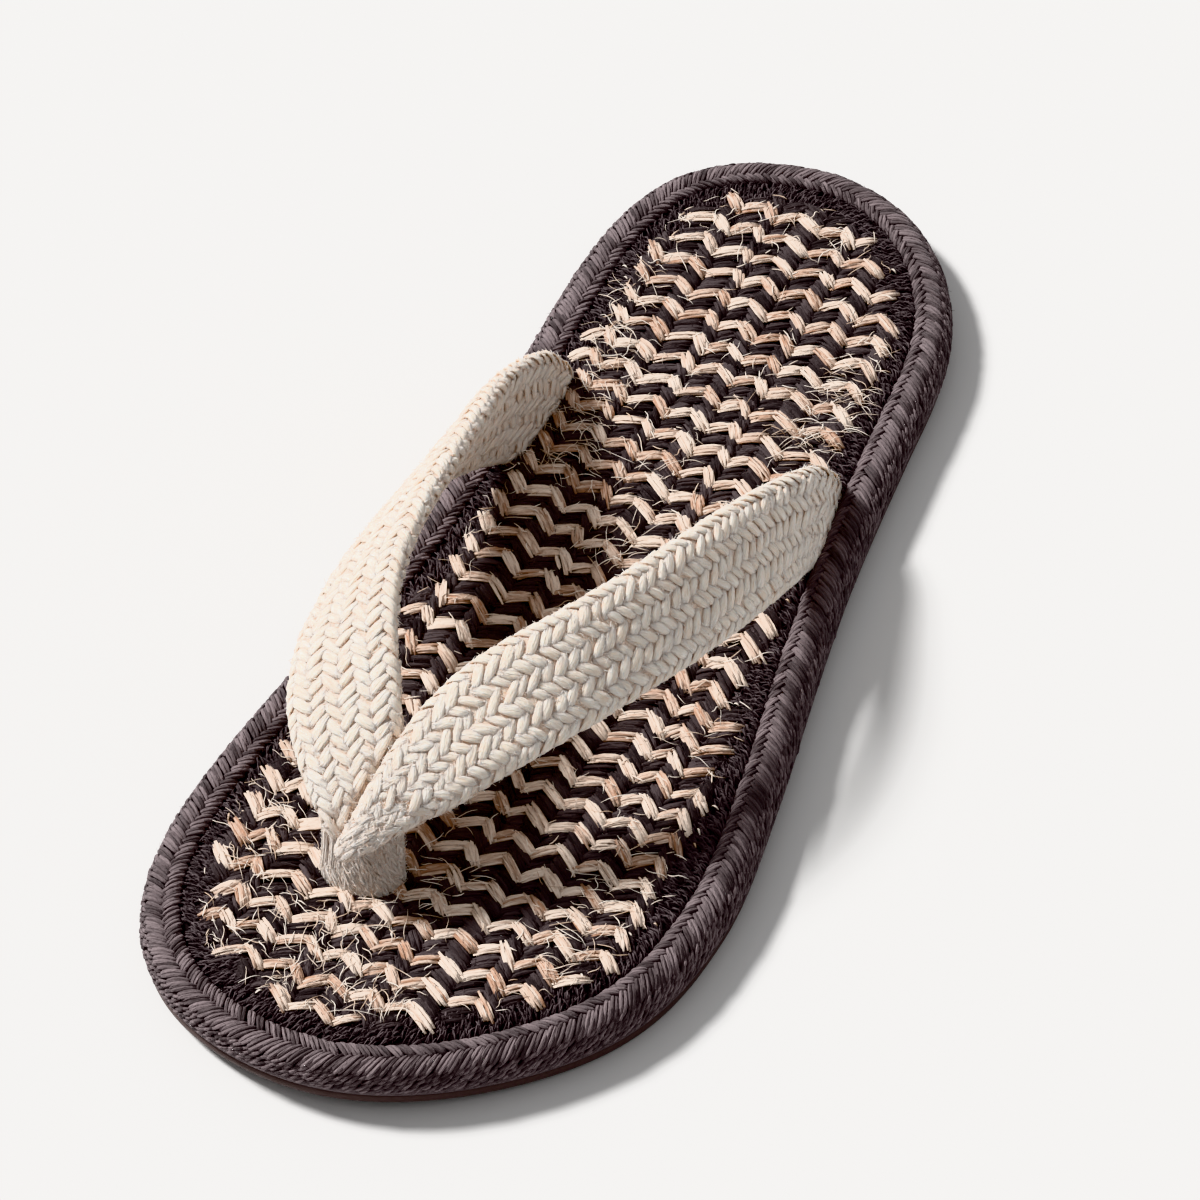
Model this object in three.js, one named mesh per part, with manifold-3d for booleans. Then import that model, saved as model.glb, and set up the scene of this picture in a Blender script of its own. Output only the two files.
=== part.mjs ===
// A soft indoor thong slipper for the left foot: a thin outsole, a thick woven mat,
// a herringbone braid wrapped round the rim, and two padded straps joined at a toe post.
// Units are millimetres. +Z is up, the toe points along -Y and +X is the lateral side.
import * as THREE from 'three';
import Module from 'manifold-3d';

const wasm = await Module();
wasm.setup();

// Driving sizes of the sole
const SOLE_LENGTH = 260;
const OUTSOLE_THICKNESS = 2;
const RIM_TOP = 9.5;
const MAT_TOP = 8.8;
const TOE_SPRING = 3;
const SPRING_START = -80;
const GAP = 0.3;
const OUTLINE_STATIONS = 88;

// The long axis through both tips lies this far to the medial side of the middle.
const FOOT_AXIS_X = -6.6;

// Half-breadths to each side of the long axis, before the tips are rounded off.
// along runs from the heel tip at -1 to the toe tip at 1.
const FULLNESS = [
  { along: -1.00, lateral: 64.6, medial: 73.9 },
  { along: -0.75, lateral: 58.3, medial: 54.3 },
  { along: -0.50, lateral: 49.8, medial: 42.4 },
  { along: -0.25, lateral: 47.3, medial: 37.5 },
  { along: 0.00, lateral: 50.2, medial: 36.7 },
  { along: 0.25, lateral: 57.3, medial: 41.8 },
  { along: 0.50, lateral: 67.3, medial: 51.3 },
  { along: 0.75, lateral: 75.3, medial: 65.1 },
  { along: 1.00, lateral: 72.4, medial: 81.3 },
];

// Profiles of the sole's pieces: inset from the outline, and height
const MAT_INSET = 7.2;
const OUTSOLE_PROFILE = [
  { inset: 1.5, height: 0 },
  { inset: 0.9, height: 0.6 },
  { inset: 0.9, height: 1.5 },
  { inset: 1.4, height: OUTSOLE_THICKNESS },
];
const MAT_PROFILE = [
  { inset: MAT_INSET, height: OUTSOLE_THICKNESS + GAP },
  { inset: MAT_INSET, height: 7.6 },
  { inset: MAT_INSET + 1.4, height: MAT_TOP },
];
const BRAID_PROFILE = [
  { inset: MAT_INSET - GAP, height: OUTSOLE_THICKNESS + GAP },
  { inset: 0.9, height: OUTSOLE_THICKNESS + GAP },
  { inset: 0.15, height: 3.6 },
  { inset: 0, height: 5.2 },
  { inset: 0.5, height: 7.2 },
  { inset: 1.5, height: 8.7 },
  { inset: 2.9, height: RIM_TOP },
  { inset: 3.6, height: RIM_TOP - 0.4 },
  { inset: 4.3, height: RIM_TOP },
  { inset: 5.8, height: 9.1 },
  { inset: MAT_INSET - GAP, height: 7.9 },
];

// Raised straw rows of the mat: zig-zag ridges across the foot
const STRAW_INSET = 13;
const STRAW_ROWS = 32;
const STRAW_CREST = 9.8;
const STRAW_VALLEY = 9.0;
const ZIGZAG_STEPS = 26;
const ZIGZAG_REACH = 1.4;
const STRAW_ROOT = 7;

// Sizes of the straps and the toe post
const STRAP_THICKNESS = 5.4;
const STRAP_COLUMNS = 7;
const COLUMN_RELIEF = 0.45;
const STRAP_STATIONS = 28;
const POST = { x: -6.5, y: -81.8, halfWidth: 7.2, halfDepth: 5.8, foot: 5.6, top: 22, sides: 18 };

// Edges of each strap from the post to its root in the mat, along the middle of its thickness.
// inner is the edge on the heel side, outer the edge on the toe side; z is the height.
const LATERAL_STRAP = [
  { innerX: -11.5, innerY: -82.0, innerZ: 13.0, outerX: -1.5, outerY: -82.0, outerZ: 13.0 },
  { innerX: -13.0, innerY: -78.8, innerZ: 23.5, outerX: 2.0, outerY: -82.2, outerZ: 21.5 },
  { innerX: -10.0, innerY: -69.5, innerZ: 31.5, outerX: 6.8, outerY: -76.7, outerZ: 26.0 },
  { innerX: -3.0, innerY: -58.3, innerZ: 38.0, outerX: 13.7, outerY: -69.0, outerZ: 29.0 },
  { innerX: 5.8, innerY: -49.0, innerZ: 42.3, outerX: 20.7, outerY: -59.2, outerZ: 31.0 },
  { innerX: 13.8, innerY: -37.2, innerZ: 44.0, outerX: 27.3, outerY: -46.0, outerZ: 30.5 },
  { innerX: 20.0, innerY: -23.0, innerZ: 43.0, outerX: 33.0, outerY: -31.0, outerZ: 28.5 },
  { innerX: 24.3, innerY: -7.0, innerZ: 39.5, outerX: 36.8, outerY: -17.0, outerZ: 25.5 },
  { innerX: 27.3, innerY: 8.0, innerZ: 34.6, outerX: 38.7, outerY: -3.5, outerZ: 21.5 },
  { innerX: 29.8, innerY: 23.0, innerZ: 28.0, outerX: 39.0, outerY: 9.0, outerZ: 16.0 },
  { innerX: 32.6, innerY: 38.5, innerZ: 19.5, outerX: 38.0, outerY: 20.5, outerZ: 9.5 },
  { innerX: 33.4, innerY: 50.5, innerZ: 5.6, outerX: 36.4, outerY: 24.5, outerZ: 5.6 },
];
const MEDIAL_STRAP = [
  { innerX: -1.5, innerY: -82.0, innerZ: 13.0, outerX: -11.5, outerY: -82.0, outerZ: 13.0 },
  { innerX: 0.5, innerY: -78.8, innerZ: 23.0, outerX: -13.8, outerY: -83.5, outerZ: 22.0 },
  { innerX: -3.0, innerY: -71.0, innerZ: 30.5, outerX: -19.5, outerY: -79.0, outerZ: 26.5 },
  { innerX: -7.8, innerY: -61.0, innerZ: 37.5, outerX: -26.8, outerY: -69.0, outerZ: 30.0 },
  { innerX: -13.4, innerY: -50.5, innerZ: 42.0, outerX: -31.2, outerY: -56.5, outerZ: 31.0 },
  { innerX: -17.5, innerY: -38.0, innerZ: 44.5, outerX: -32.7, outerY: -43.0, outerZ: 30.5 },
  { innerX: -20.0, innerY: -23.5, innerZ: 44.0, outerX: -33.5, outerY: -29.0, outerZ: 28.5 },
  { innerX: -22.0, innerY: -7.5, innerZ: 40.8, outerX: -33.3, outerY: -15.0, outerZ: 25.5 },
  { innerX: -24.5, innerY: 12.0, innerZ: 36.0, outerX: -32.3, outerY: 0.5, outerZ: 21.5 },
  { innerX: -27.3, innerY: 30.0, innerZ: 29.0, outerX: -30.0, outerY: 13.5, outerZ: 15.8 },
  { innerX: -26.6, innerY: 46.5, innerZ: 20.0, outerX: -27.0, outerY: 24.5, outerZ: 9.5 },
  { innerX: -25.6, innerY: 57.0, innerZ: 5.6, outerX: -25.6, outerY: 30.0, outerZ: 5.6 },
];

// Colours from the photographed slipper
const material = (color, roughness) => new THREE.MeshStandardMaterial({ color, roughness, metalness: 0 });
const DARK_YARN = material(0x3d3538, 0.9);
const WOVEN_MAT = material(0x8a7562, 0.9);
const BROWN_SHEET = material(0x4a3a38, 0.7);
const CREAM_COTTON = material(0xe6dccf, 0.95);

// Smooth value through evenly spaced rows
function throughRows(values, position) {
  const last = values.length - 1;
  const scaled = THREE.MathUtils.clamp(position, 0, 1) * last;
  const index = Math.min(Math.floor(scaled), last - 1);
  const t = scaled - index;
  const before = index > 0 ? values[index - 1] : 2 * values[0] - values[1];
  const after = index + 2 <= last ? values[index + 2] : 2 * values[last] - values[last - 1];
  const [a, b, c, d] = [before, values[index], values[index + 1], after];
  const cubic = (3 * b - a - 3 * c + d) * t ** 3;
  return 0.5 * (2 * b + (c - a) * t + (2 * a - 5 * b + 4 * c - d) * t ** 2 + cubic);
}

// Outline of the sole: angle 0 is the toe tip, the lateral side comes first
function outlinePoint(angle) {
  const side = Math.sin(angle) >= 0 ? 'lateral' : 'medial';
  const along = Math.cos(angle);
  const fullness = throughRows(FULLNESS.map((row) => row[side]), (along + 1) / 2);
  return new THREE.Vector2(Math.sin(angle) * fullness, -along * SOLE_LENGTH / 2);
}

function insetPoint(angle, inset) {
  const step = 0.02;
  const point = outlinePoint(angle);
  const tangent = outlinePoint(angle + step).sub(outlinePoint(angle - step)).normalize();
  return new THREE.Vector2(point.x - tangent.y * inset, point.y + tangent.x * inset);
}

function springAt(y) {
  const reach = (SPRING_START - y) / (SPRING_START + SOLE_LENGTH / 2);
  return TOE_SPRING * Math.max(reach, 0) ** 2;
}

// Vertices of one ring of the sole, lifted by the toe spring
function soleRing({ inset, height }) {
  return Array.from({ length: OUTLINE_STATIONS }, (_, i) => {
    const { x, y } = insetPoint(2 * Math.PI * i / OUTLINE_STATIONS, inset);
    return [x, y, height + springAt(y)];
  });
}

// Quads between neighbouring rings; closed joins the last ring to the first
function ringFaces(ringCount, size, closed) {
  const faces = [];
  const spans = closed ? ringCount : ringCount - 1;
  for (let r = 0; r < spans; r += 1) {
    for (let i = 0; i < size; i += 1) {
      const next = (i + 1) % size;
      const [low, high] = [r * size, ((r + 1) % ringCount) * size];
      faces.push([low + i, low + next, high + next], [low + i, high + next, high + i]);
    }
  }
  return faces;
}

function solid(points, faces) {
  const vertProperties = new Float32Array(points.flat());
  const triVerts = new Uint32Array(faces.flat());
  return new wasm.Manifold(new wasm.Mesh({ numProp: 3, vertProperties, triVerts }));
}

// A slab whose caps are strips straight across the foot
function soleSlab(profile) {
  const rings = profile.map(soleRing);
  const faces = ringFaces(rings.length, OUTLINE_STATIONS, false);
  const top = (rings.length - 1) * OUTLINE_STATIONS;
  for (let i = 0; i < OUTLINE_STATIONS / 2; i += 1) {
    const [a, b] = [i, i + 1];
    const [c, d] = [(OUTLINE_STATIONS - b) % OUTLINE_STATIONS, (OUTLINE_STATIONS - a) % OUTLINE_STATIONS];
    const corners = [a, b, c, d].filter((corner, k, all) => all.indexOf(corner) === k);
    for (let k = 1; k + 1 < corners.length; k += 1) {
      faces.push([top + corners[0], top + corners[k], top + corners[k + 1]]);
      faces.push([corners[0], corners[k + 1], corners[k]]);
    }
  }
  return solid(rings.flat(), faces);
}

// The straw field: a slab whose top rises and falls in zig-zag rows
function strawField() {
  const lines = 2 * STRAW_ROWS + 1;
  const width = ZIGZAG_STEPS + 1;
  const points = [];
  for (let line = 0; line < lines; line += 1) {
    const angle = Math.acos(1 - 2 * (line + 1) / (lines + 1));
    const lateral = insetPoint(angle, STRAW_INSET);
    const medial = insetPoint(-angle, STRAW_INSET);
    for (let step = 0; step < width; step += 1) {
      const across = step / ZIGZAG_STEPS;
      const inside = step > 0 && step < ZIGZAG_STEPS;
      const zigzag = inside ? ZIGZAG_REACH * (step % 2 === 0 ? 1 : -1) : 0;
      const x = THREE.MathUtils.lerp(medial.x, lateral.x, across);
      const y = THREE.MathUtils.lerp(medial.y, lateral.y, across) + zigzag * Math.sin(angle);
      const raised = line % 2 === 1 && inside ? STRAW_CREST : STRAW_VALLEY;
      points.push([x, y, raised + springAt(y)]);
    }
  }
  const faces = [];
  for (let line = 0; line + 1 < lines; line += 1) {
    for (let step = 0; step + 1 < width; step += 1) {
      const [a, b] = [line * width + step, line * width + step + 1];
      faces.push([a, b + width, a + width], [a, b, b + width]);
    }
  }
  const count = points.length;
  const border = [];
  for (let step = 0; step < width; step += 1) border.push(step);
  for (let line = 1; line < lines; line += 1) border.push(line * width + width - 1);
  for (let step = width - 2; step >= 0; step -= 1) border.push((lines - 1) * width + step);
  for (let line = lines - 2; line > 0; line -= 1) border.push(line * width);
  border.forEach((index) => points.push([points[index][0], points[index][1], STRAW_ROOT]));
  const centre = points.length;
  points.push([0, 0, STRAW_ROOT]);
  border.forEach((index, k) => {
    const next = (k + 1) % border.length;
    faces.push([index, count + next, border[next]], [index, count + k, count + next]);
    faces.push([centre, count + next, count + k]);
  });
  return solid(points, faces);
}

// Section of a strap: across runs from the outer edge at -1 to the inner edge at 1
function strapSection(grow) {
  const steps = 2 * STRAP_COLUMNS;
  const half = STRAP_THICKNESS / 2 + grow;
  const face = (step, sign) => {
    const across = -1 + 2 * step / steps;
    const dome = half * Math.sqrt(1 - 0.8 * across ** 4);
    const valley = step % 2 === 0 && grow === 0 ? COLUMN_RELIEF : 0;
    return { across, rise: sign * (dome - valley) };
  };
  const upper = Array.from({ length: steps + 1 }, (_, step) => face(step, 1));
  const lower = Array.from({ length: steps + 1 }, (_, step) => face(steps - step, -1));
  return [...upper, ...lower];
}

function strap(rows, side, grow) {
  const at = (name, position) => throughRows(rows.map((row) => row[name]), position);
  const edge = (which, position) => new THREE.Vector3(
    at(`${which}X`, position),
    at(`${which}Y`, position),
    at(`${which}Z`, position),
  );
  const middle = (position) => edge('inner', position).add(edge('outer', position)).multiplyScalar(0.5);
  const section = strapSection(grow);
  const points = [];
  for (let station = 0; station < STRAP_STATIONS; station += 1) {
    const position = station / (STRAP_STATIONS - 1);
    const centre = middle(position);
    const width = edge('inner', position).sub(edge('outer', position)).multiplyScalar(0.5);
    const ahead = middle(Math.min(position + 0.01, 1)).sub(middle(Math.max(position - 0.01, 0))).normalize();
    const outward = ahead.clone().cross(width).normalize().multiplyScalar(side);
    width.setLength(width.length() + grow);
    if (position === 1) centre.addScaledVector(ahead, 2 * grow);
    section.forEach(({ across, rise }) => {
      const point = centre.clone().addScaledVector(width, across).addScaledVector(outward, rise);
      points.push(point.toArray());
    });
  }
  const size = section.length;
  const faces = ringFaces(STRAP_STATIONS, size, false);
  const last = (STRAP_STATIONS - 1) * size;
  for (let i = 1; i + 1 < size; i += 1) {
    faces.push([0, i + 1, i], [last, last + i, last + i + 1]);
  }
  return solid(points, side > 0 ? faces.map(([a, b, c]) => [a, c, b]) : faces);
}

function toePost(grow) {
  const heights = [POST.foot - grow, (POST.foot + POST.top) / 2, POST.top];
  const rings = heights.map((height) => Array.from({ length: POST.sides }, (_, i) => {
    const angle = 2 * Math.PI * i / POST.sides;
    return [
      POST.x + (POST.halfWidth + grow) * Math.cos(angle),
      POST.y + (POST.halfDepth + grow) * Math.sin(angle),
      height,
    ];
  }));
  const faces = ringFaces(rings.length, POST.sides, false);
  const top = (rings.length - 1) * POST.sides;
  for (let i = 1; i + 1 < POST.sides; i += 1) {
    faces.push([0, i + 1, i], [top, top + i, top + i + 1]);
  }
  return solid(rings.flat(), faces);
}

// Both straps and the post as one textile body; grow swells it for the slots in the mat
function thong(grow) {
  return toePost(grow)
    .add(strap(LATERAL_STRAP, 1, grow))
    .add(strap(MEDIAL_STRAP, -1, grow));
}

function edgeBraid() {
  const rings = BRAID_PROFILE.map(soleRing);
  return solid(rings.flat(), ringFaces(rings.length, OUTLINE_STATIONS, true));
}

// A named mesh from a solid
function meshOf(name, body, look) {
  const { vertProperties, triVerts, numProp } = body.getMesh();
  const positions = new Float32Array(vertProperties.length / numProp * 3);
  for (let i = 0; i < positions.length / 3; i += 1) {
    positions.set(vertProperties.subarray(i * numProp, i * numProp + 3), i * 3);
  }
  const geometry = new THREE.BufferGeometry();
  geometry.setAttribute('position', new THREE.BufferAttribute(positions, 3));
  geometry.setIndex(new THREE.BufferAttribute(new Uint32Array(triVerts), 1));
  geometry.computeVertexNormals();
  const mesh = new THREE.Mesh(geometry, look);
  mesh.name = name;
  return mesh;
}

const slipper = new THREE.Group();
slipper.position.x = FOOT_AXIS_X;
slipper.add(meshOf('outsole', soleSlab(OUTSOLE_PROFILE), BROWN_SHEET));
slipper.add(meshOf('insole_mat', soleSlab(MAT_PROFILE).add(strawField()).subtract(thong(GAP)), WOVEN_MAT));
slipper.add(meshOf('edge_braid', edgeBraid(), DARK_YARN));
slipper.add(meshOf('straps', thong(0), CREAM_COTTON));

export default slipper;
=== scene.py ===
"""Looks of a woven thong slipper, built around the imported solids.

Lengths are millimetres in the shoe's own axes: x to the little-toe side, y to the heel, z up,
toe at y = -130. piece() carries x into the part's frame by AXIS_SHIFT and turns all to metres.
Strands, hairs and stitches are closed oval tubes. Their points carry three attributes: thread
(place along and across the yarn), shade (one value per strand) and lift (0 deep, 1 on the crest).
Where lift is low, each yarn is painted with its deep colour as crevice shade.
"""

import math

import bpy
import numpy as np
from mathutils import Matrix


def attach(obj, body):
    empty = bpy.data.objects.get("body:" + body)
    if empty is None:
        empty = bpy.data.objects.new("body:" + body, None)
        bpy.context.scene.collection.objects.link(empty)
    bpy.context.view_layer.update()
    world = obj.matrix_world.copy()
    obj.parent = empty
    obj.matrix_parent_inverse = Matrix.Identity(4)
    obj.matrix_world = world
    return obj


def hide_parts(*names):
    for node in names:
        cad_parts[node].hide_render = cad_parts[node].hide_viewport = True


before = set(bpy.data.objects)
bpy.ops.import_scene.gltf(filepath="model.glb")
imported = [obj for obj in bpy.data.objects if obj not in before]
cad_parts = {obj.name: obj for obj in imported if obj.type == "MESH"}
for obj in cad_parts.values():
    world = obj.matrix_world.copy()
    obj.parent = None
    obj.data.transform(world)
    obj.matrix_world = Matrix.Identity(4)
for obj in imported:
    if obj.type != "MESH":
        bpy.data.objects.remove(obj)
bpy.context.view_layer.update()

MM = 0.001
AXIS_SHIFT = -6.6
SEED = 41
UP = np.array([0.0, 0.0, 1.0])
TOWARDS_LATERAL = np.array([1.0, 0.0, 0.0])
rng = np.random.default_rng(SEED)

# The sole's outline and its rim, as in the solids.
SOLE_LENGTH = 260.0
FULLNESS_LATERAL = np.array([64.6, 58.3, 49.8, 47.3, 50.2, 57.3, 67.3, 75.3, 72.4])
FULLNESS_MEDIAL = np.array([73.9, 54.3, 42.4, 37.5, 36.7, 41.8, 51.3, 65.1, 81.3])
FULLNESS_STEP = 0.25
TANGENT_REACH = 0.02
TOE_SPRING = 3.0
SPRING_START = -80.0
SPRING_RUN = 50.0

# Rim section as (inset, height), from the foot of the wall over the top to the mat.
RIM_SECTION = np.array([
    (0.95, 2.1), (0.45, 3.0), (0.2, 4.2), (0.3, 5.6), (0.7, 7.0), (1.5, 8.2),
    (2.8, 9.0), (4.3, 9.3), (5.9, 9.25), (7.2, 8.8), (8.1, 7.9),
])
RIM_SLOPE_STEP = 0.15


def curve_rows(rows, u):
    """Smooth curve through rows r0, r1, ... : with k = floor(u), f = u - k and neighbours a, b, c, d,
    value = (2b + (c-a)f + (2a-5b+4c-d)f^2 + (3b-a-3c+d)f^3) / 2; the end rows are carried on straight."""
    rows = np.asarray(rows, float)
    first = 2 * rows[0] - rows[1]
    last = 2 * rows[-1] - rows[-2]
    padded = np.concatenate([[first], rows, [last]])
    u = np.asarray(u, float)
    k = np.clip(np.floor(u).astype(int), 0, len(rows) - 2)
    f = u - k
    if rows.ndim > 1:
        f = f[..., None]
    a = padded[k]
    b = padded[k + 1]
    c = padded[k + 2]
    d = padded[k + 3]
    return 0.5 * (2 * b + (c - a) * f + (2 * a - 5 * b + 4 * c - d) * f ** 2
                  + (3 * b - a - 3 * c + d) * f ** 3)


def unit(v):
    """v / |v|"""
    return v / np.maximum(np.linalg.norm(v, axis=-1, keepdims=True), 1e-9)


def running_length(points):
    """Distance along a path of points, from 0 at the first."""
    return np.concatenate([[0], np.cumsum(np.linalg.norm(np.diff(points, axis=0), axis=1))])


def arch(t, power=0.5):
    """sin(pi t)^power, the swelling of a strand between its tucked ends."""
    return np.sin(np.pi * np.clip(t, 0, 1)) ** power


def outline(angle):
    """Sole outline: (sin t * fullness(side, cos t), -cos t * length / 2), t = 0 at the toe."""
    along = (np.cos(angle) + 1) / FULLNESS_STEP
    lateral = curve_rows(FULLNESS_LATERAL, along)
    medial = curve_rows(FULLNESS_MEDIAL, along)
    full = np.where(np.sin(angle) >= 0, lateral, medial)
    return np.stack([np.sin(angle) * full, -np.cos(angle) * SOLE_LENGTH / 2], -1)


def spring(y):
    """Toe spring: rise * max((start - y) / run, 0)^2"""
    return TOE_SPRING * np.maximum((SPRING_START - y) / SPRING_RUN, 0) ** 2


def raised(flat, height):
    """Plan points at a height over the sprung sole: (x, y, height + spring(y))."""
    return np.concatenate([flat, (height + spring(flat[..., 1]))[..., None]], -1)


TABLE_ANGLE = np.linspace(0, 2 * np.pi, 2881)
TABLE_POINT = outline(TABLE_ANGLE)
TABLE_LENGTH = running_length(TABLE_POINT)
AROUND = TABLE_LENGTH[-1]


def inward_at(angle):
    """Unit direction (-t_y, t_x) into the sole, t the outline's unit tangent."""
    tangent = unit(outline(angle + TANGENT_REACH) - outline(angle - TANGENT_REACH))
    return np.stack([-tangent[..., 1], tangent[..., 0]], -1)


def inset_point(angle, inset):
    """Outline point moved inwards by inset."""
    return outline(angle) + np.asarray(inset)[..., None] * inward_at(angle)


def inset_ring(angle, inset):
    """The whole outline moved inwards by one inset."""
    return inset_point(angle, np.full(len(angle), inset))


def at_length(s):
    """Outline angle at distance s along it from the toe tip."""
    return np.interp(np.mod(s, AROUND), TABLE_LENGTH, TABLE_ANGLE)


SECTION_FINE = curve_rows(RIM_SECTION, np.linspace(0, len(RIM_SECTION) - 1, 400))
SECTION_LENGTH = running_length(SECTION_FINE)
RIM_WIDTH = SECTION_LENGTH[-1]


def section_value(w, column):
    """Inset (column 0) or height (column 1) of the rim section at distance w up it."""
    return np.interp(w, SECTION_LENGTH, SECTION_FINE[:, column])


def rim_point(s, w, out=0.0):
    """Rim surface at distance s around the sole and w up the section, raised by out along its normal."""
    s = np.asarray(s, float)
    w = np.clip(w, 0, RIM_WIDTH)
    slope_in = section_value(w + RIM_SLOPE_STEP, 0) - section_value(w - RIM_SLOPE_STEP, 0)
    slope_up = section_value(w + RIM_SLOPE_STEP, 1) - section_value(w - RIM_SLOPE_STEP, 1)
    size = np.maximum(np.hypot(slope_in, slope_up), 1e-6)
    out_in = -slope_up / size
    out_up = slope_in / size
    angle = at_length(s)
    flat = inset_point(angle, section_value(w, 0) + out_in * out)
    normal = np.concatenate([inward_at(angle) * out_in[..., None], out_up[..., None]], -1)
    return raised(flat, section_value(w, 1) + out_up * out), normal


def frame_along(centre, up):
    """Directions along paths: up made square to the tangent, and across = up x tangent."""
    tangent = unit(np.gradient(centre, axis=1))
    up = np.broadcast_to(up, centre.shape)
    up = unit(up - np.sum(up * tangent, -1, keepdims=True) * tangent)
    return up, np.cross(up, tangent)


def strands(centre, up, half_width, half_height, sides=4, shade=None, lift=None):
    """Closed strands of oval section: point = c + a * w cos q + n * h sin q, with n and a square to the
    path and q = 2 pi (k + 1/2) / sides. The ends are closed by strips of quads."""
    count, stations = centre.shape[:2]
    up, across = frame_along(centre, up)
    q = 2 * np.pi * (np.arange(sides) + 0.5) / sides
    wide = np.broadcast_to(half_width, (count, stations))[..., None] * np.cos(q)
    high = np.broadcast_to(half_height, (count, stations))[..., None] * np.sin(q)
    ring = centre[:, :, None] + across[:, :, None] * wide[..., None] + up[:, :, None] * high[..., None]
    ids = np.arange(count * stations * sides).reshape(count, stations, sides)
    low = ids[:, :-1]
    top = ids[:, 1:]
    quads = [np.stack([low, np.roll(low, -1, 2), np.roll(top, -1, 2), top], -1).reshape(-1, 4)]
    for i in range(sides // 2 - 1):
        end = ids[:, -1][:, [i, i + 1, sides - 2 - i, sides - 1 - i]]
        start = ids[:, 0][:, [sides - 1 - i, sides - 2 - i, i + 1, i]]
        quads += [end, start]
    step = np.linalg.norm(np.diff(centre, axis=1), axis=2)
    run = np.concatenate([np.zeros((count, 1)), np.cumsum(step, axis=1)], 1)
    offset = rng.uniform(0, 400, (count, 1, 1))
    thread = np.stack(np.broadcast_arrays(run[..., None] + offset, wide + offset, high), -1)
    if shade is None:
        shade = rng.uniform(0, 1, count)
    # Painted shade: by default the underside of each strand gets lift near 0, and so the deep colour.
    if lift is None:
        lift = (np.sin(q) + 1) / 2
    lift = np.broadcast_to(lift, (count, stations, sides))
    shade = np.repeat(shade, stations * sides)
    return ring.reshape(-1, 3), np.concatenate(quads), thread.reshape(-1, 3), shade, lift.reshape(-1)


def plied(centre, up, half_width, half_height, plies, overlap=1.22):
    """A strand as plies laid side by side: c + a (k - (plies-1)/2) 2w/plies, each a little off its place."""
    count, stations = centre.shape[:2]
    up, across = frame_along(centre, up)
    tone = rng.uniform(0, 1, count)
    blocks = []
    for ply in range(plies):
        place = (ply - (plies - 1) / 2) * 2 * half_width / plies
        place = np.broadcast_to(place, (count, stations)) + rng.normal(0, 0.03, (count, 1))
        rise = rng.normal(0, 0.03, (count, 1))
        path = centre + across * place[..., None] + up * rise[..., None]
        shade = np.clip(tone + rng.normal(0, 0.18, count), 0, 1)
        blocks.append(strands(path, up, overlap * half_width / plies, half_height, shade=shade))
    return blocks


def hairs(root, normal, ahead, longest, thick, upright=1.0):
    """Two-point hairs from root r, with lean u and angle q: r - 0.2 n + l t unit(a cos q + b sin q + u n),
    the tip moved by 0.3 l in a direction of its own."""
    number = len(root)
    t = np.linspace(0, 1, 2)
    sideways = np.cross(normal, ahead)
    angle = rng.uniform(0, 2 * np.pi, (number, 1))
    lean = rng.uniform(0.35, 1.0, (number, 1)) * upright
    flat = ahead * np.cos(angle) + sideways * np.sin(angle)
    length = rng.uniform(0.35, 1.0, (number, 1)) * longest
    direction = unit(flat + normal * lean)
    curl = unit(rng.normal(0, 1, (number, 3)))
    points = root[:, None] - normal[:, None] * 0.2 + direction[:, None] * (length * t)[..., None]
    points = points + curl[:, None] * (0.3 * length * t ** 2)[..., None]
    half = thick * np.linspace(1.0, 0.3, 2)
    return strands(points, unit(np.cross(direction, curl))[:, None], half, half, lift=0.9)


def skin(points, close_rows=False, close_columns=False, lift=0.0):
    """A surface over a grid of points, faces turned so that rows x columns points outwards."""
    rows, columns = points.shape[:2]
    ids = np.arange(rows * columns).reshape(rows, columns)
    if close_rows:
        ids = np.concatenate([ids, ids[:1]])
    if close_columns:
        ids = np.concatenate([ids, ids[:, :1]], 1)
    quads = np.stack([ids[:-1, :-1], ids[1:, :-1], ids[1:, 1:], ids[:-1, 1:]], -1).reshape(-1, 4)
    flat = points.reshape(-1, 3)
    size = len(flat)
    return flat, quads, flat.copy(), np.full(size, 0.5), np.full(size, float(lift))


def piece(name, blocks, material, node=None):
    """One mesh object from blocks of (points, faces, thread, shade, lift); millimetres become metres."""
    points = np.concatenate([b[0] for b in blocks])
    shift = np.cumsum([0] + [len(b[0]) for b in blocks[:-1]])
    quads = np.concatenate([b[1] + k for b, k in zip(blocks, shift)])
    points = (points + np.array([AXIS_SHIFT, 0, 0])) * MM
    mesh = bpy.data.meshes.new(name)
    mesh.vertices.add(len(points))
    mesh.vertices.foreach_set("co", points.astype(np.float32).ravel())
    mesh.loops.add(quads.size)
    mesh.loops.foreach_set("vertex_index", quads.astype(np.int32).ravel())
    mesh.polygons.add(len(quads))
    mesh.polygons.foreach_set("loop_start", np.arange(0, quads.size, 4, dtype=np.int32))
    mesh.polygons.foreach_set("use_smooth", np.ones(len(quads), bool))
    mesh.update(calc_edges=True)
    attributes = (
        ("thread", "FLOAT_VECTOR", "vector"),
        ("shade", "FLOAT", "value"),
        ("lift", "FLOAT", "value"),
    )
    for place, (label, kind, entry) in enumerate(attributes, start=2):
        values = np.concatenate([b[place] for b in blocks]).astype(np.float32)
        mesh.attributes.new(label, kind, "POINT").data.foreach_set(entry, values.ravel())
    obj = bpy.data.objects.new(name, mesh)
    bpy.context.scene.collection.objects.link(obj)
    mesh.materials.append(material)
    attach(obj, "root")
    if node:
        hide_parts(node)
    return obj


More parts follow.
